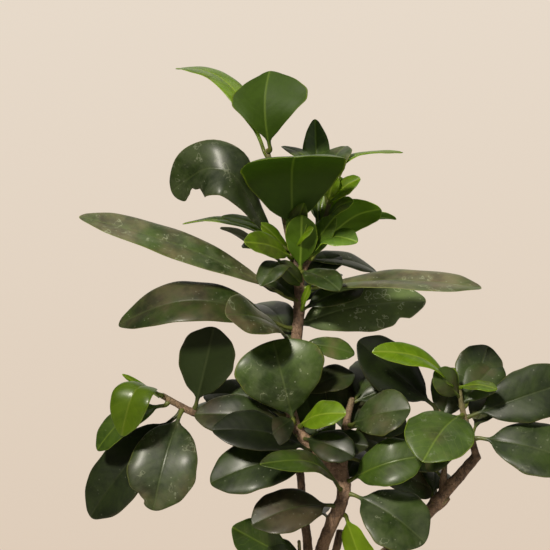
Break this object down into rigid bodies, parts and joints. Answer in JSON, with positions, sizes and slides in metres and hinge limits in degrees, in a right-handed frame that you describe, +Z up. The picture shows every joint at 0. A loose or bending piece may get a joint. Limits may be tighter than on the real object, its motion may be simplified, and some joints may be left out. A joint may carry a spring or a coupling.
{
  "type": "potted bonsai tree",
  "caption": "Small potted ficus bonsai: bulbous root stock with grafted stems carrying glossy oval leaves, in a round glazed pot.",
  "frame": {"origin": "centre of the pot's flat underside, on the surface it stands on", "axes": "+Z up the plant, +X to the viewer's right, +Y away from the viewer; the longest leaves spread along X"},
  "size_m": [0.2231, 0.148, 0.3609],
  "materials": {
    "glaze": "satin warm grey glaze",
    "screen": "matte black mesh",
    "soil": "loose dark potting soil",
    "stock_bark": "smooth grey-tan bark",
    "stem_bark": "rough grey-brown bark",
    "old_leaf": "waxy dark green leaf",
    "green_leaf": "glossy mid green leaf",
    "young_leaf": "glossy yellow-green leaf"
  },
  "bodies": {
    "root": {"pot": "glaze", "drain_screen": "screen", "soil": "soil", "root_stock": "stock_bark", "middle_stem": "stem_bark", "left_stem": "stem_bark", "right_stem": "stem_bark", "cut_stub": "stem_bark", "top_leaf_front": "green_leaf", "top_leaf_left": "young_leaf", "top_leaf_broad": "green_leaf", "top_leaf_back": "green_leaf", "top_leaf_right": "young_leaf", "crown_leaf_folded": "green_leaf", "crown_leaf_right": "green_leaf", "crown_leaf_arched": "green_leaf", "crown_leaf_curled": "green_leaf", "crown_leaf_grey": "old_leaf", "crown_leaf_long_right": "old_leaf", "crown_leaf_bitten": "old_leaf", "crown_leaf_slim": "young_leaf", "crown_leaf_shaded": "old_leaf", "crown_leaf_small": "young_leaf", "crown_leaf_long_left": "old_leaf", "crown_leaf_low_right": "old_leaf", "crown_leaf_low_left": "old_leaf", "middle_leaf_right": "old_leaf", "middle_leaf_left": "old_leaf", "middle_leaf_awning": "old_leaf", "middle_leaf_front": "old_leaf", "middle_leaf_hidden": "old_leaf", "middle_leaf_brown": "old_leaf", "middle_leaf_glossy": "old_leaf", "middle_leaf_drooping": "old_leaf", "middle_leaf_bright": "young_leaf", "middle_leaf_dark": "old_leaf", "middle_leaf_under": "old_leaf", "crook_leaf_left": "green_leaf", "crook_leaf_low": "old_leaf", "crook_leaf_hanging": "young_leaf", "crook_leaf_broad": "old_leaf", "crook_leaf_right": "green_leaf", "inner_leaf_olive": "old_leaf", "inner_leaf_grey": "old_leaf", "low_leaf_upright": "green_leaf", "left_leaf_upright": "old_leaf", "left_leaf_tip": "young_leaf", "left_leaf_paired": "green_leaf", "left_leaf_far": "old_leaf", "left_leaf_near": "old_leaf", "right_leaf_near": "green_leaf", "right_leaf_low": "old_leaf", "right_leaf_high": "old_leaf", "right_leaf_back": "old_leaf", "right_leaf_inner": "old_leaf", "right_leaf_bright": "young_leaf", "back_leaf_upper": "old_leaf", "back_leaf_middle": "old_leaf", "back_leaf_left": "old_leaf", "back_leaf_inner": "old_leaf"}
  },
  "joints": []
}
